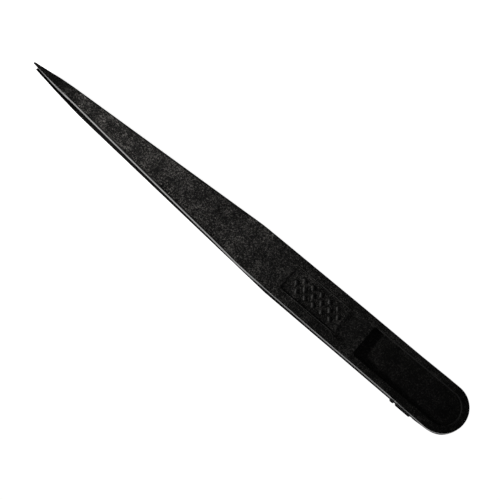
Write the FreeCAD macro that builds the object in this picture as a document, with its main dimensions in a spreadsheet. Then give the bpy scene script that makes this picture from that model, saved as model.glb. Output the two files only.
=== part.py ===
import FreeCAD, Part
import os
import Sketcher

# Precision tweezers moulded in two halves.
# Design frame, in millimetres: X runs from the tips (0) to the round rear end,
# Y across the width, Z = 0 is the plane where the two heels meet, +Z is the upper half.
# Every sub-part then gets one common placement, the attitude in which the tweezers
# lie on a flat surface: resting on the lower jaw's relief corner and the rear end.

DIMENSIONS = {
    # stations along the length
    "overall_length": 115.0,
    "taper_change_x": 7.0,
    "relief_front_x": 10.0,
    "relief_rear_x": 10.6,
    "arm_middle_x": 31.0,
    "flexure_front_x": 53.0,
    "shoulder_x": 58.0,
    "root_x": 66.0,
    "heel_middle_x": 84.0,
    "rest_facet_x": 113.4,
    # half widths at those stations
    "tip_half_width": 0.20,
    "taper_change_half_width": 1.13,
    "arm_middle_half_width": 2.98,
    "shoulder_half_width": 5.05,
    "heel_middle_half_width": 5.27,
    "rear_half_width": 5.30,
    # heights from the meeting plane to the inner and outer faces
    "tip_inner_height": 2.70,
    "tip_outer_height": 2.82,
    "relief_inner_height": 2.25,
    "blade_inner_height": 2.85,
    "relief_outer_height": 4.45,
    "shoulder_outer_height": 2.05,
    "rear_outer_height": 1.75,
    # weld seam between the heels
    "seam_thickness": 0.10,
    "seam_margin": 0.45,
    # locating pegs and their sockets
    "peg_front_x": 73.0,
    "peg_rear_x": 84.0,
    "peg_radius": 1.0,
    "peg_height": 0.95,
    "peg_clearance": 0.05,
    # pocket in the outer face of each heel
    "pocket_front_x": 88.6,
    "pocket_half_width": 3.72,
    "pocket_corner": 0.80,
    "pocket_front_depth": 1.05,
    "pocket_rear_depth": 0.45,
    # shallow marking panel in front of the upper pocket
    "panel_front_x": 68.75,
    "panel_rear_x": 83.15,
    "panel_half_width": 3.00,
    "panel_depth": 0.15,
    # trimmed gate stubs on the side of the lower heel
    "short_gate_front_x": 100.3,
    "short_gate_rear_x": 101.5,
    "long_gate_front_x": 101.8,
    "long_gate_rear_x": 105.7,
    "gate_stand_out": 0.38,
    "gate_root_depth": 0.60,
    "gate_top_depth": 0.30,
    "gate_bottom_depth": 1.40,
    # stock that the outlines are cut from
    "stock_margin": 2.0,
    "stock_width": 16.0,
}

UPPER = 1
LOWER = -1

document = FreeCAD.newDocument("tweezers")
sheet = document.addObject("Spreadsheet::Sheet", "Dimensions")


# ---------------------------------------------------------------- expressions


def fill_sheet():
    for row, (alias, value) in enumerate(DIMENSIONS.items(), start=1):
        sheet.set(f"A{row}", alias)
        sheet.set(f"B{row}", str(value))
        sheet.setAlias(f"B{row}", alias)
    document.recompute()


def cell(alias):
    """Expression text of one driving dimension."""
    return f"Dimensions.{alias}"


def evaluate(expression):
    return float(sheet.evalExpression(expression.replace("Dimensions.", "")))


def signed(side, expression):
    """Height on the upper half, or its mirror image on the lower half."""
    return expression if side == UPPER else f"-1 * {expression}"


def line_at(station, start, end):
    """Expression text of a straight line's value at a station; its ends are (station, value)."""
    (start_x, start_value), (end_x, end_value) = start, end
    slope = f"(({end_value} - {start_value}) / ({end_x} - {start_x}))"
    return f"({start_value} + {slope} * ({station} - {start_x}))"


def seam_face():
    """Height of a heel's meeting face: half the seam's thickness."""
    return f"({cell('seam_thickness')} / 2)"


def blade_inner(station):
    """Inner face behind the relief step: a straight line down to the meeting face."""
    start = (cell("relief_rear_x"), cell("blade_inner_height"))
    return line_at(station, start, (cell("root_x"), seam_face()))


def blade_outer(station):
    start = (cell("relief_front_x"), cell("relief_outer_height"))
    return line_at(station, start, (cell("shoulder_x"), cell("shoulder_outer_height")))


def heel_outer(station):
    start = (cell("shoulder_x"), cell("shoulder_outer_height"))
    return line_at(station, start, (cell("overall_length"), cell("rear_outer_height")))


def rest_line(station):
    """Line of the floor: under the lower relief corner and the front of the resting facet."""
    facet_x = cell("rest_facet_x")
    start = (cell("relief_front_x"), cell("relief_outer_height"))
    return line_at(station, start, (facet_x, heel_outer(facet_x)))


def arm_half_width(station):
    start = (cell("arm_middle_x"), cell("arm_middle_half_width"))
    return line_at(station, start, (cell("shoulder_x"), cell("shoulder_half_width")))


def rear_centre():
    """Station of the centre of the round rear end."""
    return f"({cell('overall_length')} - {cell('rear_half_width')})"


# ---------------------------------------------------------------- sketches


def new_body(label):
    body = document.addObject("PartDesign::Body", label)
    body.Label = label
    return body


def new_sketch(body, name, role, offset="0", pitch="0"):
    """Sketch on an origin plane of its body, moved along the normal and turned about Y."""
    sketch = body.newObject("Sketcher::SketchObject", name)
    plane = next(feature for feature in body.Origin.OriginFeatures if feature.Role == role)
    sketch.AttachmentSupport = [(plane, "")]
    sketch.MapMode = "FlatFace"
    sketch.AttachmentOffset = FreeCAD.Placement(
        FreeCAD.Vector(), FreeCAD.Rotation(FreeCAD.Vector(0, 1, 0), evaluate(pitch))
    )
    sketch.setExpression("AttachmentOffset.Base.z", offset)
    if pitch != "0":
        sketch.setExpression("AttachmentOffset.Rotation.Angle", pitch)
    return sketch


def drive_point(sketch, geometry, vertex, across, up):
    """Tie a point of the sketch to its origin with two driven distances."""
    for kind, expression in (("DistanceX", across), ("DistanceY", up)):
        value = evaluate(expression)
        index = sketch.addConstraint(Sketcher.Constraint(kind, -1, 1, geometry, vertex, value))
        sketch.setExpression(f"Constraints[{index}]", expression)


def add_lines(sketch, corners):
    """Chain of lines through corners, which are pairs of expressions. Returns first and last."""
    points = [FreeCAD.Vector(evaluate(across), evaluate(up), 0) for across, up in corners]
    first = sketch.GeometryCount
    for number, (start, end) in enumerate(zip(points, points[1:])):
        line = sketch.addGeometry(Part.LineSegment(start, end), False)
        drive_point(sketch, line, 1, *corners[number])
        if number:
            sketch.addConstraint(Sketcher.Constraint("Coincident", line - 1, 2, line, 1))
    return first, first + len(points) - 2


def add_polygon(sketch, corners):
    first, last = add_lines(sketch, corners + corners[:1])
    sketch.addConstraint(Sketcher.Constraint("Coincident", last, 2, first, 1))


def add_round_ended_outline(sketch, corners):
    """Outline whose first and last corners are joined by an arc about the rear centre."""
    first, last = add_lines(sketch, corners)
    radius = evaluate(corners[0][1])
    centre = FreeCAD.Vector(evaluate(rear_centre()), 0, 0)
    start = centre - FreeCAD.Vector(0, radius, 0)
    middle = centre + FreeCAD.Vector(radius, 0, 0)
    end = centre + FreeCAD.Vector(0, radius, 0)
    arc = sketch.addGeometry(Part.Arc(start, middle, end), False)
    sketch.addConstraint(Sketcher.Constraint("Coincident", last, 2, arc, 1))
    sketch.addConstraint(Sketcher.Constraint("Coincident", arc, 2, first, 1))
    drive_point(sketch, arc, 3, rear_centre(), "0")


def add_circle(sketch, across, radius):
    """Circle on the centre line."""
    centre = FreeCAD.Vector(evaluate(across), 0, 0)
    circle = sketch.addGeometry(Part.Circle(centre, FreeCAD.Vector(0, 0, 1), evaluate(radius)), False)
    drive_point(sketch, circle, 3, across, "0")
    index = sketch.addConstraint(Sketcher.Constraint("Radius", circle, evaluate(radius)))
    sketch.setExpression(f"Constraints[{index}]", radius)


def add_stock_frame(sketch):
    """Rectangle round the whole part; an outline inside it is what stays."""
    half = f"{cell('stock_width')} / 2 + {cell('stock_margin')}"
    front = f"-1 * {cell('stock_margin')}"
    rear = f"{cell('overall_length')} + {cell('stock_margin')}"
    add_polygon(sketch, [(front, f"-1 * ({half})"), (rear, f"-1 * ({half})"), (rear, half), (front, half)])


def square_fronted(front, corner, half_width):
    """Corners of an outline with a square front whose two corners are cut off."""
    return [
        (rear_centre(), half_width),
        (f"{front} + {corner}", half_width),
        (front, f"{half_width} - {corner}"),
        (front, f"{corner} - {half_width}"),
        (f"{front} + {corner}", f"-1 * {half_width}"),
        (rear_centre(), f"-1 * {half_width}"),
    ]


def mirrored(stations):
    """Closed outline about the centre line from (station, half width) pairs."""
    return stations + [(x, f"-1 * {half}") for x, half in reversed(stations)]


# ---------------------------------------------------------------- features


def add_pad(body, name, sketch, length, downward=False, midplane=False):
    pad = body.newObject("PartDesign::Pad", name)
    pad.Profile = sketch
    pad.Reversed = downward
    pad.Midplane = midplane
    pad.setExpression("Length", length)
    document.recompute()


def add_pocket(body, name, sketch, depth=None, upward=False, midplane=False):
    """Pocket of a given depth, or right through; it must take material away."""
    before = body.Shape.Volume
    pocket = body.newObject("PartDesign::Pocket", name)
    pocket.Profile = sketch
    pocket.Midplane = midplane
    if depth is None:
        pocket.Type = "ThroughAll"
    else:
        pocket.Reversed = upward
        pocket.setExpression("Length", depth)
    document.recompute()
    if body.Shape.Volume >= before:
        raise RuntimeError(f"{body.Label}: {name} takes nothing away")


def add_side_profile(body, side, corners):
    """Stock with the piece's true side view, wider than the piece."""
    sketch = new_sketch(body, "side_profile", "XZ_Plane")
    add_polygon(sketch, [(x, signed(side, height)) for x, height in corners])
    add_pad(body, "stock", sketch, cell("stock_width"), midplane=True)


def trim_to_outline(body, stations):
    """Cut the stock down to a straight-sided plan outline."""
    sketch = new_sketch(body, "plan_outline", "XY_Plane")
    add_stock_frame(sketch)
    add_polygon(sketch, mirrored(stations))
    add_pocket(body, "trim", sketch, midplane=True)


def build_arm(label, side):
    """Tip, relief step and free blade of one half, up to its flexure."""
    body = new_body(label)
    end = cell("flexure_front_x")
    add_side_profile(
        body,
        side,
        [
            ("0", cell("tip_inner_height")),
            (cell("relief_front_x"), cell("relief_inner_height")),
            (cell("relief_rear_x"), cell("blade_inner_height")),
            (end, blade_inner(end)),
            (end, blade_outer(end)),
            (cell("relief_front_x"), cell("relief_outer_height")),
            ("0", cell("tip_outer_height")),
        ],
    )
    trim_to_outline(
        body,
        [
            ("0", cell("tip_half_width")),
            (cell("taper_change_x"), cell("taper_change_half_width")),
            (cell("arm_middle_x"), cell("arm_middle_half_width")),
            (end, arm_half_width(end)),
        ],
    )
    return body


def build_flexure(label, side):
    """Short stretch of the moulding that bends when the arm closes."""
    body = new_body(label)
    front = cell("flexure_front_x")
    rear = cell("shoulder_x")
    add_side_profile(
        body,
        side,
        [
            (front, blade_inner(front)),
            (rear, blade_inner(rear)),
            (rear, blade_outer(rear)),
            (front, blade_outer(front)),
        ],
    )
    trim_to_outline(body, [(front, arm_half_width(front)), (rear, arm_half_width(rear))])
    return body


def add_heel_solid(body, side):
    """Heel: wedge from the shoulder to the root, then a plate with a round rear end.

    The lower one ends in a small facet that lies flat on the floor.
    """
    front = cell("shoulder_x")
    rear = cell("overall_length")
    rear_corners = [(rear, heel_outer(rear))]
    if side == LOWER:
        facet_x = cell("rest_facet_x")
        rear_corners = [(rear, rest_line(rear)), (facet_x, heel_outer(facet_x))]
    add_side_profile(
        body,
        side,
        [
            (front, blade_inner(front)),
            (cell("root_x"), seam_face()),
            (rear, seam_face()),
            *rear_corners,
            (front, heel_outer(front)),
        ],
    )
    sketch = new_sketch(body, "plan_outline", "XY_Plane")
    add_stock_frame(sketch)
    middle = cell("heel_middle_x")
    corners = [
        (rear_centre(), cell("rear_half_width")),
        (middle, cell("heel_middle_half_width")),
        (front, cell("shoulder_half_width")),
    ]
    add_round_ended_outline(sketch, mirrored(corners))
    add_pocket(body, "trim", sketch, midplane=True)


def cut_rear_pocket(body, side):
    """Pocket in the outer face, round at the rear, whose floor rises towards the rear."""
    front = cell("pocket_front_x")
    rear = f"({rear_centre()} + {cell('pocket_half_width')})"
    front_floor = f"({heel_outer(front)} - {cell('pocket_front_depth')})"
    rear_floor = f"({heel_outer(rear)} - {cell('pocket_rear_depth')})"
    rise = f"(({rear_floor} - {front_floor}) / ({rear} - {front}))"
    height_at_tips = f"({front_floor} - {rise} * {front})"
    sketch = new_sketch(
        body,
        "pocket_outline",
        "XY_Plane",
        signed(side, height_at_tips),
        pitch=f"{-side} * atan({rise})",
    )
    corners = square_fronted(front, cell("pocket_corner"), cell("pocket_half_width"))
    add_round_ended_outline(sketch, corners)
    add_pocket(body, "rear_pocket", sketch, cell("relief_outer_height"), upward=side == UPPER)


def cut_marking_panel(body):
    """Shallow panel in the outer face, following the face's slight slope."""
    sketch = new_sketch(body, "panel_section", "XZ_Plane")
    front = cell("panel_front_x")
    rear = cell("panel_rear_x")
    depth = cell("panel_depth")
    add_polygon(
        sketch,
        [
            (front, f"{heel_outer(front)} - {depth}"),
            (rear, f"{heel_outer(rear)} - {depth}"),
            (rear, f"{heel_outer(rear)} + {depth}"),
            (front, f"{heel_outer(front)} + {depth}"),
        ],
    )
    add_pocket(body, "marking_panel", sketch, f"2 * {cell('panel_half_width')}", midplane=True)


def cut_peg_sockets(body):
    """Two blind sockets in the upper heel's meeting face."""
    sketch = new_sketch(body, "socket_circles", "XY_Plane")
    for station in ("peg_front_x", "peg_rear_x"):
        add_circle(sketch, cell(station), f"{cell('peg_radius')} + {cell('peg_clearance')}")
    depth = f"{cell('peg_height')} + 2 * {cell('peg_clearance')}"
    add_pocket(body, "peg_sockets", sketch, depth, upward=True)


def add_locating_pegs(body):
    """Two pegs that stand up from the lower heel's meeting face."""
    sketch = new_sketch(body, "peg_circles", "XY_Plane", signed(LOWER, seam_face()))
    for station in ("peg_front_x", "peg_rear_x"):
        add_circle(sketch, cell(station), cell("peg_radius"))
    add_pad(body, "locating_pegs", sketch, f"{cell('peg_height')} + {seam_face()}")


def add_gate_stub(body, name, front, rear):
    """Stub of a trimmed gate on the side of the heel, its front corner cut off."""
    sketch = new_sketch(body, f"{name}_outline", "XY_Plane", signed(LOWER, cell("gate_top_depth")))
    stand_out = cell("gate_stand_out")
    side_y = f"-1 * {cell('rear_half_width')}"
    root_y = f"{side_y} + {cell('gate_root_depth')}"
    add_polygon(
        sketch,
        [
            (front, root_y),
            (front, side_y),
            (f"{front} + {stand_out}", f"{side_y} - {stand_out}"),
            (rear, f"{side_y} - {stand_out}"),
            (rear, root_y),
        ],
    )
    add_pad(body, name, sketch, f"{cell('gate_bottom_depth')} - {cell('gate_top_depth')}", downward=True)


def build_upper_heel():
    body = new_body("upper_heel")
    add_heel_solid(body, UPPER)
    cut_rear_pocket(body, UPPER)
    cut_marking_panel(body)
    cut_peg_sockets(body)
    return body


def build_lower_heel():
    body = new_body("lower_heel")
    add_heel_solid(body, LOWER)
    cut_rear_pocket(body, LOWER)
    add_locating_pegs(body)
    add_gate_stub(body, "short_gate_stub", cell("short_gate_front_x"), cell("short_gate_rear_x"))
    add_gate_stub(body, "long_gate_stub", cell("long_gate_front_x"), cell("long_gate_rear_x"))
    return body


def build_weld_seam():
    """Thin layer of remelted plastic between the heels, with holes for the pegs."""
    body = new_body("weld_seam")
    sketch = new_sketch(body, "seam_outline", "XY_Plane", signed(LOWER, seam_face()))
    front = f"{cell('root_x')} + {cell('seam_margin')}"
    half_width = f"({cell('shoulder_half_width')} - {cell('seam_margin')})"
    add_round_ended_outline(sketch, square_fronted(front, cell("seam_margin"), half_width))
    for station in ("peg_front_x", "peg_rear_x"):
        add_circle(sketch, cell(station), f"{cell('peg_radius')} + {cell('peg_clearance')}")
    add_pad(body, "seam_layer", sketch, cell("seam_thickness"))
    return body


# ---------------------------------------------------------------- placing and checking


def resting_placement(bodies):
    """Tilt about Y that puts relief corner and resting facet on the floor, centred along X."""
    rear_x = cell("rest_facet_x")
    rise = evaluate(f"{cell('relief_outer_height')} - {heel_outer(rear_x)}")
    run = evaluate(f"{rear_x} - {cell('relief_front_x')}")
    tilt = FreeCAD.Rotation(FreeCAD.Vector(run, 0, rise), FreeCAD.Vector(run, 0, 0))
    box = FreeCAD.BoundBox()
    for body in bodies:
        turned = body.Shape.copy()
        turned.Placement = FreeCAD.Placement(FreeCAD.Vector(), tilt)
        box.add(turned.optimalBoundingBox(False, False))
    return FreeCAD.Placement(FreeCAD.Vector(-box.Center.x, 0, -box.ZMin), tilt)


def check_document(bodies):
    for item in document.Objects:
        if "Invalid" in item.State or "Error" in item.State:
            raise RuntimeError(f"{item.Label} failed: {item.State}")
    for body in bodies:
        if body.Shape.isNull() or not body.Shape.isValid() or len(body.Shape.Solids) != 1:
            raise RuntimeError(f"{body.Label} is not one valid solid")


fill_sheet()
sub_parts = [
    build_upper_heel(),
    build_flexure("upper_flexure", UPPER),
    build_arm("upper_arm", UPPER),
    build_lower_heel(),
    build_flexure("lower_flexure", LOWER),
    build_arm("lower_arm", LOWER),
    build_weld_seam(),
]
placement = resting_placement(sub_parts)
for sub_part in sub_parts:
    sub_part.Placement = placement
document.recompute()
check_document(sub_parts)

os.makedirs("parts", exist_ok=True)
for sub_part in sub_parts:
    sub_part.Shape.exportStep(f"parts/{sub_part.Label}.step")
    print(f"{sub_part.Label}: {sub_part.Shape.Volume:.2f} mm3")
print(f"placement {placement}")
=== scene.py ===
import math
import bmesh
import bpy
import numpy as np
from mathutils import Matrix, Vector


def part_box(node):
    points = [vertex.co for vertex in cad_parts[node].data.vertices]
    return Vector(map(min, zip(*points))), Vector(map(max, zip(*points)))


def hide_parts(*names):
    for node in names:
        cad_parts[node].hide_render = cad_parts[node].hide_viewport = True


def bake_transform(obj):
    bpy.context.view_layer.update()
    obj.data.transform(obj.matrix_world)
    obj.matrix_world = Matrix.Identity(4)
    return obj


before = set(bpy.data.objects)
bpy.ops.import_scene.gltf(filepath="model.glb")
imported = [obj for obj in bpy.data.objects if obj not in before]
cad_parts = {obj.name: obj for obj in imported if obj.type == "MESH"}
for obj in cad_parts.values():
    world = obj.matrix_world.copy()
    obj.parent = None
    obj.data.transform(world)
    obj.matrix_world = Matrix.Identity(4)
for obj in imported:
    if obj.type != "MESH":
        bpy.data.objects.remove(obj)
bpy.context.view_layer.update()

# The two halves are modelled in the design frame, in millimetres: X from the tips (0)
# to the round rear end, Y across the width, Z = 0 where the heels meet. The upper half
# is built with +Z outwards; the lower half is its mirror image, without the marking panel.
# to_row() then turns and moves the points to the frame's own place, in metres.

MM = 0.001

LENGTH = 115.0
REAR_RADIUS = 5.30
REAR_CENTRE = LENGTH - REAR_RADIUS
RELIEF_FRONT = 10.0
RELIEF_REAR = 10.6
SHOULDER = 58.0
ROOT = 66.0
TIP_INNER = 2.70
RELIEF_OUTER = 4.45
SEAM_FACE = 0.05

# plan outline at the inner face: station and half width, its corners eased over OUTLINE_EASE
OUTLINE_X = (0.0, 7.0, 31.0, SHOULDER, 84.0, REAR_CENTRE)
OUTLINE_HALF_WIDTH = (0.20, 1.13, 2.98, 5.05, 5.27, REAR_RADIUS)
OUTLINE_EASE = 0.8
# -Y side, station and distance: how far the upper half is trimmed back from the outline
TRIM = (
    (0.0, 0.0), (7.0, 0.06), (13.5, 0.12), (31.0, 0.20), (51.0, 0.38), (57.0, 0.36),
    (62.0, 0.20), (68.0, 0.08), (92.0, 0.0), (103.0, -0.14), (109.0, -0.19), (111.5, -0.04),
    (LENGTH, 0.0),
)
# and how far the lower half stands out from it
LEDGE = (
    (0.0, 0.05), (7.0, 0.07), (13.5, 0.24), (18.0, 0.21), (31.0, 0.05), (51.0, -0.18),
    (58.0, -0.26), (67.0, 0.26), (84.0, 0.20), (107.0, 0.34), (110.5, 0.15), (113.0, 0.20),
    (LENGTH, 0.0),
)
# inner and outer faces: station and height above the meeting plane
INNER_X = (0.0, RELIEF_FRONT, RELIEF_REAR, ROOT, LENGTH)
INNER_HEIGHT = (TIP_INNER, 2.25, 2.85, SEAM_FACE, SEAM_FACE)
OUTER_X = (0.0, RELIEF_FRONT, SHOULDER, LENGTH)
OUTER_HEIGHT = (2.82, RELIEF_OUTER, 2.05, 1.75)

# side walls: how far they lean in, and where the upper one grows upright towards the rear
SIDE_INSET = 0.12
LOWER_SIDE_INSET = 0.26
INSET_WIDTH_SHARE = 0.10
ROUND_END_LOSS = 0.8
UPRIGHT_START = 98.0
UPRIGHT_LENGTH = 10.0
UPRIGHT_LOSS = 1.05
REST_FACET = 113.4
# edge radii, limited to a share of the thickness and of the half width
ARM_EDGE_RADIUS = 0.38
HEEL_EDGE_RADIUS = 0.10
EDGE_CHANGE_START = 48.0
EDGE_CHANGE_LENGTH = 20.0
OUTER_EDGE_SHARES = (0.35, 0.15)
INNER_EDGE_RADIUS = 0.12
INNER_EDGE_SHARE = 0.2

POCKET_FRONT = 88.6
POCKET_HALF_WIDTH = 3.72
POCKET_CORNER = 0.80
POCKET_BOX_LENGTH = 60.0
POCKET_CHAMFER = 0.08
POCKET_WALL = 0.08
# painted highlight on the pocket's rim: its width outside the edge, the station where it starts, and the
# side it keeps to
HIGHLIGHT_RIM = 0.12
HIGHLIGHT_START = POCKET_FRONT + 1.0
HIGHLIGHT_SIDE = -2.0
POCKET_FRONT_DEPTH = 1.05
POCKET_REAR_DEPTH = 0.45

PANEL_FRONT = 68.75
PANEL_REAR = 83.15
PANEL_HALF_WIDTH = 3.0
PANEL_CORNER = 0.8
PANEL_DEPTH = 0.15
PANEL_WALL = 0.18
PANEL_REAR_RAMP = 1.2
PANEL_SHIFT = 0.14
RIDGE_HEIGHT = 0.11
RIDGE_HALF_LINE = 0.14
RIDGE_RUN_OUT = 0.5
TROUGH_DEPTH = 0.34
TROUGH_HALF_WIDTH = 3.6
TROUGH_SPAN = (82.6, 1.5, 88.0, 3.8)
MARK_START = 70.7
MARK_COUNT = 6
MARK_PITCH = 2.2
MARK_ROW_SPACING = 1.35
MARK_LENGTH = 0.55
MARK_TURN = math.radians(-55.0)
MARK_HALF_LINE = 0.36
MARK_SOFTNESS = 0.24
MARK_HEIGHT = 0.24
MARK_CREST = 0.3

# trimmed gate stubs: start, rise, end and fall of each along the heel, and its share of the stand-out
GATES = (
    (100.2, 0.45, 101.6, 0.35, 1.0),
    (101.6, 0.50, 105.8, 0.30, 1.0),
    (106.0, 0.40, 110.5, 3.50, 0.20),
)
GATE_HEIGHT_SPAN = (0.25, 0.15, 1.45, 0.20)
GATE_STAND_OUT = 0.34

# mesh: stations near the tip's cap, and steps round each section
TIP_STATIONS = (0.0, 0.04, 0.1)
GATES_START = 99.6
INNER_STEPS = 16
INNER_ARC_STEPS = 2
WALL_STEPS = 10
OUTER_ARC_STEPS = 5
RIM_STEPS = 10
POCKET_WALL_STEPS = 6
FLOOR_STEPS = 48
REAR_STEPS = 72
# the mesh lines on the pocket's wall stay between these shares of the half width at the narrow tips
TOP_LINE_LOW = 0.25
TOP_LINE_HIGH = 0.75
FOOT_LINE_LOW = 0.20
FOOT_LINE_GAP = 0.02
# ahead of the pocket they span the panel's ridges, this many times as far apart as on its wall
RIDGE_LINES_APART = 3.0
SHARP_ANGLE = math.radians(32.0)
WELD_DISTANCE = 0.0005 * MM

# along the length, station and factor: painted light and shade that scales the plastic's colour and
# gloss (dark at the tips, brightest on the arms, darker towards the rear), and how deep its grain is
LENGTH_LIGHT_FALLOFF = (
    (9.0, 0.16), (11.0, 0.42), (14.0, 0.63), (30.0, 0.76), (45.0, 0.80), (61.0, 0.92), (69.0, 0.68),
    (84.0, 0.67), (88.0, 0.68), (106.0, 0.62), (111.0, 0.47), (LENGTH, 0.42),
)
GRAIN_DEPTHS = ((7.0, 0.4), (12.0, 1.0), (60.0, 1.0), (72.0, 0.7), (88.0, 0.48))

# plastic: noise scales per metre, how much the clouds and specks count, and shares of the grain's height
CLOUD_SCALE = 330.0
CLOUD_SHARE = 0.28
FIBRE_SCALE = 3600.0
FIBRE_DISTORTION = 0.8
FINE_SCALE = 5200.0
CALM_SPECK_SHARE = 0.09
COARSE_GRAIN = 0.55
FINE_GRAIN = 0.2
FULL_SPECULAR = 0.5
PLASTIC_IOR = 1.55
FLECK_COLOUR = (0.014, 0.0135, 0.013)
# places on the noise of plain plastic, first flecks and full specks, and of dull and duller clouds
SPECK_STOPS = (0.55, 0.655, 0.775)
SPECK_TINT = (1.0, 0.96, 0.92)
DULL_STOPS = (0.35, 0.65)

FLOOR_HALF_SIZE = 6.0
FLOOR_GREY = 0.85
FLOOR_ROUGHNESS = 0.8
FLOOR_GLOW = 1.0
WORLD_STRENGTH = 0.015
WHITE = (1.0, 1.0, 1.0)
# lamps: place and target in millimetres in the row's frame, size in metres, watts, spread, colour
LAMPS = {
    "key": ((-100.0, -86.0, 61.0), (-42.0, 0.0, 6.0), (0.012, 0.012), 0.0188, 72.0, (1.0, 0.985, 0.96)),
    "fill": ((600.0, -100.0, 420.0), (0.0, 0.0, 0.0), (0.5, 0.3), 0.1, 180.0, WHITE),
}

# camera: place and target in millimetres in the row's frame, roll in degrees
CAMERA_PLACE = (50.83, -49.25, 425.37)
CAMERA_TARGET = (1.753, -0.897, 5.5)
CAMERA_ROLL = 40.65
CAMERA_LENS = 150.23
CAMERA_SENSOR = 36.0
CAMERA_NEAR = 0.01


def to_row(points):
    """Design frame in millimetres to the row's frame in metres: the resting tilt, then the shift."""
    rear_face = float(outer_height(REST_FACET))
    tilt = math.atan2(RELIEF_OUTER - rear_face, REST_FACET - RELIEF_FRONT)
    sine, cosine = math.sin(tilt), math.cos(tilt)
    arm_low, arm_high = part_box("upper_arm")
    shift_x = arm_low[0] - TIP_INNER * sine * MM
    shift_z = arm_high[2] - (RELIEF_OUTER * cosine - RELIEF_FRONT * sine) * MM
    x, y, z = points[:, 0], points[:, 1], points[:, 2]
    return np.column_stack(
        (
            (x * cosine + z * sine) * MM + shift_x,
            y * MM,
            (z * cosine - x * sine) * MM + shift_z,
        )
    )


def smoothstep(value):
    value = np.clip(value, 0.0, 1.0)
    return value * value * (3.0 - 2.0 * value)


def swell(x, start, rise, end, fall):
    """1 between start and end and 0 outside, with a smooth rise and fall just inside them."""
    return smoothstep((x - start) / rise) * smoothstep((end - x) / fall)


def half_width(x):
    """Half width of the outline, with eased corners."""
    ease = np.minimum(OUTLINE_EASE, np.minimum(x, np.maximum(REAR_CENTRE - x, 0.0)))
    parts = [np.interp(x + ease * shift, OUTLINE_X, OUTLINE_HALF_WIDTH) for shift in (-1, 0, 1)]
    return sum(parts) / 3.0


def edge_shift(x, upper):
    """Difference of a half's -Y side from the nominal outline."""
    stations, shifts = zip(*(TRIM if upper else LEDGE))
    return np.interp(x, stations, shifts) * (-1.0 if upper else 1.0)


def inner_height(x):
    return np.interp(x, INNER_X, INNER_HEIGHT)


def outer_height(x):
    return np.interp(x, OUTER_X, OUTER_HEIGHT)


def lower_outer_height(x):
    """The lower half's outer face ends in a small facet that lies flat on the floor."""
    facet = float(outer_height(REST_FACET))
    fall = (RELIEF_OUTER - facet) / (REST_FACET - RELIEF_FRONT)
    return np.minimum(outer_height(x), facet - fall * (x - REST_FACET))


def edge_radius(x, thickness, width):
    """Radius of the outer edges: generous on the arms, small on the heel and at the tips."""
    change = smoothstep((x - EDGE_CHANGE_START) / EDGE_CHANGE_LENGTH)
    radius = ARM_EDGE_RADIUS + (HEEL_EDGE_RADIUS - ARM_EDGE_RADIUS) * change
    thickness_share, width_share = OUTER_EDGE_SHARES
    return min(radius, thickness_share * thickness, width_share * width)


# ---------------------------------------------------------------- details of the outer face


def rounded_box_distance(x, y, front, rear, half, corner):
    """Signed distance to a rectangle with rounded corners, negative inside."""
    middle = (front + rear) / 2.0
    dx = np.abs(x - middle) - ((rear - front) / 2.0 - corner)
    dy = np.abs(y) - (half - corner)
    outside = np.hypot(np.maximum(dx, 0.0), np.maximum(dy, 0.0))
    return outside + np.minimum(np.maximum(dx, dy), 0.0) - corner


def pocket_distance(x, y):
    """Signed distance to the pocket's outline: cornered front, round rear. The box of the
    front part runs on past the rear arc."""
    front_part = rounded_box_distance(
        x, y, POCKET_FRONT, POCKET_FRONT + POCKET_BOX_LENGTH, POCKET_HALF_WIDTH, POCKET_CORNER
    )
    rear_part = np.hypot(x - REAR_CENTRE, y) - POCKET_HALF_WIDTH
    return np.where(x > REAR_CENTRE, rear_part, front_part)


def pocket_depth(x, y):
    along = (x - POCKET_FRONT) / (REAR_CENTRE + POCKET_HALF_WIDTH - POCKET_FRONT)
    depth = POCKET_FRONT_DEPTH + (POCKET_REAR_DEPTH - POCKET_FRONT_DEPTH) * along
    inward = -pocket_distance(x, y)
    chamfer = np.clip(inward, 0.0, POCKET_CHAMFER)
    return chamfer + (depth - POCKET_CHAMFER) * smoothstep((inward - POCKET_CHAMFER) / POCKET_WALL)


def pocket_half_width_at(x, shrink=0.0):
    """Where the pocket's wall, or the panel's ridge, lies across one station; mesh lines follow it."""
    half = POCKET_HALF_WIDTH - shrink
    corner = POCKET_CORNER - shrink
    front = POCKET_FRONT + shrink
    if x < front:
        return PANEL_HALF_WIDTH + PANEL_SHIFT + RIDGE_HALF_LINE - RIDGE_LINES_APART * shrink
    if x < front + corner:
        return half - corner + math.sqrt(corner**2 - (front + corner - x) ** 2)
    if x > REAR_CENTRE:
        return math.sqrt(max(half**2 - (x - REAR_CENTRE) ** 2, 0.0))
    return half


def dash_rows(x, y):
    """Three staggered rows of short slanting raised dashes, 0 to 1."""
    rows = np.zeros_like(x)
    for row in (-1, 0, 1):
        along = x - MARK_START - 0.5 * MARK_PITCH * (row % 2)
        number = np.clip(np.round(along / MARK_PITCH), 0, MARK_COUNT - 1 - row % 2)
        dx = along - number * MARK_PITCH
        dy = y - row * MARK_ROW_SPACING
        lengthwise = dx * math.cos(MARK_TURN) + dy * math.sin(MARK_TURN)
        sideways = dy * math.cos(MARK_TURN) - dx * math.sin(MARK_TURN)
        beyond = np.maximum(np.abs(lengthwise) - MARK_LENGTH / 2.0, 0.0)
        distance = np.hypot(beyond, sideways)
        rows = np.maximum(rows, smoothstep((MARK_HALF_LINE - distance) / MARK_SOFTNESS))
    return rows


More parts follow.
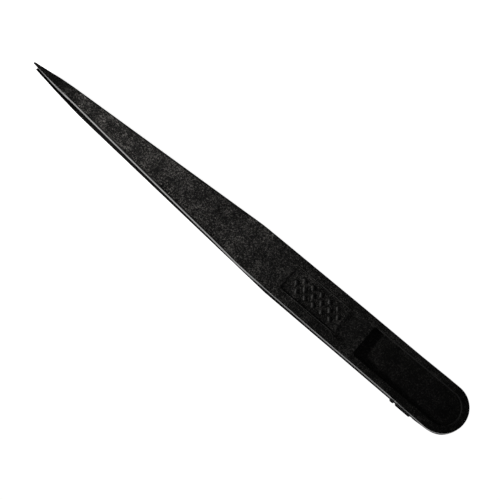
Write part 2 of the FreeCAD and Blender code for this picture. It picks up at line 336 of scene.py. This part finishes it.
def panel_relief(x, y):
    """Recessed panel with plain raised marks, thin ridges along its sides and a trough behind it."""
    y = y - PANEL_SHIFT
    distance = rounded_box_distance(x, y, PANEL_FRONT, PANEL_REAR, PANEL_HALF_WIDTH, PANEL_CORNER)
    depth = PANEL_DEPTH * smoothstep((PANEL_REAR - x) / PANEL_REAR_RAMP)
    along_side = swell(x, PANEL_FRONT, RIDGE_RUN_OUT, PANEL_REAR, RIDGE_RUN_OUT)
    beside = np.abs(np.abs(y) - PANEL_HALF_WIDTH) / RIDGE_HALF_LINE
    ridge = RIDGE_HEIGHT * smoothstep(1.0 - beside) * along_side
    trough = swell(x, *TROUGH_SPAN) * smoothstep(TROUGH_HALF_WIDTH - np.abs(y))
    sunk = depth * smoothstep(-distance / PANEL_WALL) + TROUGH_DEPTH * trough
    return ridge + MARK_HEIGHT * dash_rows(x, y) - sunk


def gate_stand_out(x, height):
    """How far the trimmed gate stubs stand out from the lower heel's side."""
    reach = max(share * swell(x, *span) for *span, share in GATES)
    return GATE_STAND_OUT * reach * swell(height, *GATE_HEIGHT_SPAN)


# ---------------------------------------------------------------- the moulded halves


def spaced(start, end, step):
    count = max(1, round((end - start) / step))
    return list(np.linspace(start, end, count, endpoint=False))


def straight_stations(upper):
    """Stations from the tips to the rear arc's centre, close together where detail is fine."""
    panel_step, gate_step = (0.12, 0.5) if upper else (0.6, 0.1)
    # start and step of each span
    spans = (
        (0.2, 0.3),
        (RELIEF_FRONT, 0.1),
        (RELIEF_REAR, 0.7),
        (SHOULDER - 2.0, 0.4),
        (PANEL_FRONT - 0.4, panel_step),
        (PANEL_REAR + 0.4, 0.4),
        (POCKET_FRONT - 0.1, 0.05),
        (POCKET_FRONT + 1.0, 0.5),
        (GATES_START, gate_step),
    )
    ends = [start for start, _ in spans[1:]] + [REAR_CENTRE]
    stations = list(TIP_STATIONS)
    for (start, step), end in zip(spans, ends):
        stations += spaced(start, end, step)
    return stations


def edge_profile(x, wall_thickness, width, side_inset):
    """(inset, height) pairs from the inner face's edge up the side to the outer face's edge."""
    radius = edge_radius(x, wall_thickness, width)
    small = min(INNER_EDGE_RADIUS, INNER_EDGE_SHARE * wall_thickness, INNER_EDGE_SHARE * width)
    inset = min(side_inset, INSET_WIDTH_SHARE * width)
    points = []
    for step in range(INNER_ARC_STEPS + 1):
        turn = math.pi / 2 * step / INNER_ARC_STEPS
        points.append((small * (1.0 - math.sin(turn)), small * (1.0 - math.cos(turn))))
    wall_top = wall_thickness - radius
    for step in range(1, WALL_STEPS + 1):
        height = small + (wall_top - small) * step / WALL_STEPS
        points.append((inset * height / wall_thickness, height))
    for step in range(1, OUTER_ARC_STEPS + 1):
        turn = math.pi / 2 * step / OUTER_ARC_STEPS
        base = inset * wall_top / wall_thickness
        points.append((base + radius * (1.0 - math.cos(turn)), wall_top + radius * math.sin(turn)))
    return points


def across_positions(left, right, x):
    """Positions from the outer face's +Y edge to its -Y edge, with mesh lines on the pocket's wall."""
    edge = min(left, right)
    top = min(pocket_half_width_at(x), TOP_LINE_HIGH * edge)
    top = max(top, TOP_LINE_LOW * edge)
    foot = min(pocket_half_width_at(x, POCKET_CHAMFER + POCKET_WALL), top - FOOT_LINE_GAP * edge)
    foot = max(foot, FOOT_LINE_LOW * edge)
    left_rim = np.linspace(left, top, RIM_STEPS, endpoint=False)
    right_rim = np.linspace(right, top, RIM_STEPS, endpoint=False)
    wall = np.linspace(top, foot, POCKET_WALL_STEPS, endpoint=False)
    middle = np.linspace(foot, -foot, FLOOR_STEPS + 1)
    return np.concatenate([left_rim, wall, middle, -wall[::-1], -right_rim[::-1]])


def cross_section(station, turn, upper):
    """Closed loop round one station, and which of its points lie on the outer face.
    turn is the angle round the rear arc, 0 on the straight part."""
    width = float(half_width(np.array(station)))
    x = station + width * math.sin(turn)
    base = float(inner_height(x))
    thickness = float(outer_height(x) if upper else lower_outer_height(x)) - base
    side_inset = (SIDE_INSET if upper else LOWER_SIDE_INSET) * (1.0 - ROUND_END_LOSS * math.sin(turn))
    if upper:
        side_inset *= 1.0 - UPRIGHT_LOSS * float(smoothstep((x - UPRIGHT_START) / UPRIGHT_LENGTH))
    sides = {1.0: [], -1.0: []}
    for inset, height in edge_profile(x, thickness, width, side_inset):
        for side, points in sides.items():
            reach = width - inset
            aside = reach * math.cos(turn)
            if side < 0:
                aside += float(edge_shift(x, upper))
            if side < 0 and not upper:
                aside += float(gate_stand_out(x, height))
            points.append((station + reach * math.sin(turn), side * max(aside, 0.0), base + height))
    left, right = sides[1.0], sides[-1.0]
    foot_x, foot_y, foot_z = left[0]
    inner = [(foot_x, y, foot_z) for y in np.linspace(foot_y, -foot_y, INNER_STEPS + 1)[1:-1]]
    edge_x, edge_y, edge_z = left[-1]
    across = across_positions(edge_y, -right[-1][1], edge_x)
    outer = [(edge_x, y, edge_z) for y in across[-2:0:-1]]
    loop = left[::-1] + inner + right + outer
    return loop, [False] * (len(loop) - len(outer)) + [True] * len(outer)


def half_points(upper):
    """Points of one half, ring by ring, with the relief of its outer face."""
    stations = [(x, 0.0) for x in straight_stations(upper)]
    stations += [(REAR_CENTRE, math.pi / 2 * step / REAR_STEPS) for step in range(REAR_STEPS + 1)]
    loops, outer_flags = [], []
    for station, turn in stations:
        loop, on_outer = cross_section(station, turn, upper)
        loops.append(loop)
        outer_flags.append(on_outer)
    points = np.array(loops)
    on_outer = np.array(outer_flags)
    x, y = points[..., 0], points[..., 1]
    relief = -pocket_depth(x, y)
    if upper:
        relief = relief + panel_relief(x, y)
    points[..., 2] += np.where(on_outer, relief, 0.0)
    return points, on_outer


def finish_index(centres, on_outer):
    """Material of each face: 0 grained outer face, 1 polished sides and inner face, 2 satin pocket
    floor, 3 painted highlight: paler colour on the crests of the marks and ridges and on the pocket's
    rim at its rear and +Y side, where the lamp catches them."""
    x, y = centres[:, 0], centres[:, 1]
    inward = -pocket_distance(x, y)
    panel_y = y - PANEL_SHIFT
    on_ridge = np.abs(np.abs(panel_y) - PANEL_HALF_WIDTH) < RIDGE_HALF_LINE / 2.0
    in_panel = (x > PANEL_FRONT + PANEL_CORNER) & (x < PANEL_REAR - PANEL_REAR_RAMP)
    # painted highlight: the rim on the lamp's side and the crests of the panel's ridges and marks get
    # the paler colour
    on_rim = (inward > -HIGHLIGHT_RIM) & (x > HIGHLIGHT_START) & (y > HIGHLIGHT_SIDE)
    painted_highlight = on_rim | (in_panel & (on_ridge | (dash_rows(x, panel_y) > MARK_CREST)))
    finish = np.where(inward > POCKET_CHAMFER, 2, np.where(painted_highlight, 3, 0))
    return np.where(on_outer, finish, 1).astype(np.int32)


def half_mesh(name, upper):
    """One moulded half as a closed mesh of rings, capped at the tip and merged at the rear."""
    points, on_outer = half_points(upper)
    rings, count = points.shape[:2]
    faces = []
    for ring in range(rings - 1):
        near, far = ring * count, (ring + 1) * count
        for corner in range(count):
            following = (corner + 1) % count
            faces.append((near + corner, near + following, far + following, far + corner))
    points[..., 2] *= 1.0 if upper else -1.0
    points = points.reshape(-1, 3)
    centres = points[np.array(faces)].mean(axis=1)
    faces.append(tuple(range(count)))
    mesh = bpy.data.meshes.new(name)
    mesh.from_pydata(to_row(points).tolist(), [], faces)
    outer_faces = (on_outer | np.roll(on_outer, -1, axis=1))[:-1].reshape(-1)
    mesh.polygons.foreach_set("material_index", np.append(finish_index(centres, outer_faces), 1))
    shape = bmesh.new()
    shape.from_mesh(mesh)
    bmesh.ops.remove_doubles(shape, verts=shape.verts, dist=WELD_DISTANCE)
    bmesh.ops.recalc_face_normals(shape, faces=shape.faces)
    shape.to_mesh(mesh)
    shape.free()
    mesh.shade_smooth()
    mesh.set_sharp_from_angle(angle=SHARP_ANGLE)
    return mesh


def build_half(name, upper, finishes):
    half = bpy.data.objects.new(name, half_mesh(name, upper))
    bpy.context.scene.collection.objects.link(half)
    for material in finishes:
        half.data.materials.append(material)
    return half


# ---------------------------------------------------------------- materials


def add_node(tree, kind, **inputs):
    """Adds a shader node and sets its inputs: values, or (node, output) links."""
    node = tree.nodes.new(kind)
    for key, value in inputs.items():
        socket = node.inputs[key.replace("_", " ")]
        if isinstance(value, tuple) and isinstance(value[0], bpy.types.Node):
            tree.links.new(value[0].outputs[value[1]], socket)
        else:
            socket.default_value = value
    return node


def add_ramp(tree, source, stops):
    ramp = add_node(tree, "ShaderNodeValToRGB", Fac=source)
    elements = ramp.color_ramp.elements
    while len(elements) < len(stops):
        elements.new(0.5)
    for element, (position, colour) in zip(elements, stops):
        element.position = position
        element.color = (*colour, 1.0)
    return ramp


def grey(value):
    return (value, value, value)


def moulded_plastic(name, speck, grain, dark=0.004, dull_low=0.42, dull_high=0.60):
    """Black fibre-filled plastic: cloudy gloss, fine moulded grain and sparse pale fibre specks."""
    material = bpy.data.materials.new(name)
    material.use_nodes = True
    tree = material.node_tree
    tree.nodes.clear()
    place = add_node(tree, "ShaderNodeTexCoord")
    point = (place, "Object")
    noise = "ShaderNodeTexNoise"
    cloud = add_node(tree, noise, Vector=point, Scale=CLOUD_SCALE, Detail=5.0, Roughness=0.65)
    fibre = add_node(tree, noise, Vector=point, Scale=FIBRE_SCALE, Detail=4.0, Roughness=0.7)
    fibre.inputs["Distortion"].default_value = FIBRE_DISTORTION
    fine = add_node(tree, noise, Vector=point, Scale=FINE_SCALE, Detail=2.0, Roughness=0.6)

    mottle = add_node(tree, "ShaderNodeMath", Value=(cloud, "Fac"))
    mottle.operation = "MULTIPLY_ADD"
    mottle.inputs[1].default_value = CLOUD_SHARE
    tree.links.new(fibre.outputs["Fac"], mottle.inputs[2])
    speck_colour = tuple(speck * part for part in SPECK_TINT)
    speck_stops = zip(SPECK_STOPS, (grey(dark), FLECK_COLOUR, speck_colour))
    base = add_ramp(tree, (mottle, "Value"), list(speck_stops))
    parts = add_node(tree, "ShaderNodeSeparateXYZ", Vector=point)
    along = add_node(tree, "ShaderNodeMapRange", Value=(parts, "X"))
    along.inputs["From Min"].default_value = -LENGTH / 2.0 * MM
    along.inputs["From Max"].default_value = LENGTH / 2.0 * MM
    # painted light fall-off: colour and gloss scaled along the length, darker at the sloped tips and
    # towards the rear
    falloff_ramp = add_ramp(tree, (along, "Result"), [(x / LENGTH, grey(value)) for x, value in LENGTH_LIGHT_FALLOFF])
    depths = [(x / LENGTH, grey(value)) for x, value in GRAIN_DEPTHS]
    depth = add_ramp(tree, (along, "Result"), depths)
    calm = add_node(
        tree,
        "ShaderNodeMixRGB",
        Fac=(depth, "Color"),
        Color1=(*grey(dark + CALM_SPECK_SHARE * speck), 1.0),
        Color2=(base, "Color"),
    )
    falloff_colour = tree.nodes.new("ShaderNodeVectorMath")
    falloff_colour.operation = "MULTIPLY"
    tree.links.new(calm.outputs["Color"], falloff_colour.inputs[0])
    tree.links.new(falloff_ramp.outputs["Color"], falloff_colour.inputs[1])
    # painted sheen: the gloss follows the same painted fall-off along the length
    gloss = add_node(tree, "ShaderNodeMath", Value=(falloff_ramp, "Color"))
    gloss.operation = "MULTIPLY"
    gloss.inputs[1].default_value = FULL_SPECULAR
    dull_stops = zip(DULL_STOPS, (grey(dull_low), grey(dull_high)))
    dull = add_ramp(tree, (cloud, "Fac"), list(dull_stops))
    coarse = add_node(
        tree,
        "ShaderNodeBump",
        Strength=(depth, "Color"),
        Distance=grain * COARSE_GRAIN * MM,
        Height=(fibre, "Fac"),
    )
    relief = add_node(
        tree,
        "ShaderNodeBump",
        Strength=(depth, "Color"),
        Distance=grain * FINE_GRAIN * MM,
        Height=(fine, "Fac"),
        Normal=(coarse, "Normal"),
    )
    shader = add_node(
        tree,
        "ShaderNodeBsdfPrincipled",
        Base_Color=(falloff_colour, "Vector"),
        Specular_IOR_Level=(gloss, "Value"),
        Roughness=(dull, "Color"),
        Normal=(relief, "Normal"),
    )
    shader.inputs["IOR"].default_value = PLASTIC_IOR
    output = add_node(tree, "ShaderNodeOutputMaterial")
    tree.links.new(shader.outputs["BSDF"], output.inputs["Surface"])
    return material


def light_table():
    """Plain white floor that glows softly, like a photographer's light table."""
    material = bpy.data.materials.new("light_table")
    material.use_nodes = True
    shader = material.node_tree.nodes["Principled BSDF"]
    shader.inputs["Base Color"].default_value = (*grey(FLOOR_GREY), 1.0)
    shader.inputs["Roughness"].default_value = FLOOR_ROUGHNESS
    shader.inputs["Emission Color"].default_value = (*WHITE, 1.0)
    shader.inputs["Emission Strength"].default_value = FLOOR_GLOW
    return material


# ---------------------------------------------------------------- floor, light and camera


def build_floor():
    size = FLOOR_HALF_SIZE
    mesh = bpy.data.meshes.new("floor")
    corners = [(-size, -size, 0.0), (size, -size, 0.0), (size, size, 0.0), (-size, size, 0.0)]
    mesh.from_pydata(corners, [], [(0, 1, 2, 3)])
    floor = bpy.data.objects.new("floor", mesh)
    bpy.context.scene.collection.objects.link(floor)
    mesh.materials.append(light_table())


def aim(thing, target):
    direction = Vector(target) - thing.location
    thing.rotation_euler = direction.to_track_quat("-Z", "Y").to_euler()


def add_light(name, place, target, size, power, spread, colour):
    """Rectangular lamp; place and target in millimetres in the row's frame."""
    lamp = bpy.data.lights.new(name, "AREA")
    lamp.shape = "RECTANGLE"
    lamp.size, lamp.size_y = size
    lamp.spread = math.radians(spread)
    lamp.energy = power
    lamp.color = colour
    light = bpy.data.objects.new(name, lamp)
    bpy.context.scene.collection.objects.link(light)
    light.location = Vector(place) * MM
    aim(light, Vector(target) * MM)


def light_scene():
    world = bpy.data.worlds.new("studio")
    world.use_nodes = True
    background = world.node_tree.nodes["Background"]
    background.inputs["Color"].default_value = (*WHITE, 1.0)
    background.inputs["Strength"].default_value = WORLD_STRENGTH
    bpy.context.scene.world = world
    for name, lamp in LAMPS.items():
        add_light(name, *lamp)
    bpy.context.scene.view_settings.view_transform = "Standard"
    bpy.context.scene.view_settings.look = "None"


def build_camera():
    """Camera nearly overhead, a little to the rear and the -Y side, turned so the tips point up-left."""
    camera_data = bpy.data.cameras.new("camera")
    camera_data.sensor_width = CAMERA_SENSOR
    camera_data.lens = CAMERA_LENS
    camera_data.clip_start = CAMERA_NEAR
    camera = bpy.data.objects.new("camera", camera_data)
    bpy.context.scene.collection.objects.link(camera)
    place = Vector(CAMERA_PLACE) * MM
    forward = (Vector(CAMERA_TARGET) * MM - place).normalized()
    level = forward.cross(Vector((0.0, 1.0, 0.0))).normalized()
    upright = level.cross(forward)
    roll = math.radians(CAMERA_ROLL)
    right = level * math.cos(roll) + upright * math.sin(roll)
    up = upright * math.cos(roll) - level * math.sin(roll)
    turned = Matrix((right, up, -forward)).transposed()
    camera.matrix_world = Matrix.Translation(place) @ turned.to_4x4()
    bpy.context.scene.camera = camera


# ---------------------------------------------------------------- the scene

finishes = (
    moulded_plastic("black_grained_plastic", speck=0.62, grain=0.32, dark=0.001),
    moulded_plastic(
        "black_polished_plastic", speck=0.02, grain=0.04, dark=0.002, dull_low=0.24, dull_high=0.34
    ),
    moulded_plastic("black_satin_plastic", speck=0.36, grain=0.15, dark=0.012),
    # paler plastic that paints the highlights on the rim and crests
    moulded_plastic("black_painted_highlight_plastic", speck=0.16, grain=0.05, dark=0.22),
)
upper_half = build_half("upper_half", True, finishes)
lower_half = build_half("lower_half", False, finishes)
for half, side in ((upper_half, "upper"), (lower_half, "lower")):
    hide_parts(f"{side}_heel", f"{side}_flexure", f"{side}_arm")
    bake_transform(half)

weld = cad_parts["weld_seam"]
weld.data.materials.clear()
weld.data.materials.append(moulded_plastic("weld_plastic", speck=0.03, grain=0.01))

build_floor()
light_scene()
build_camera()
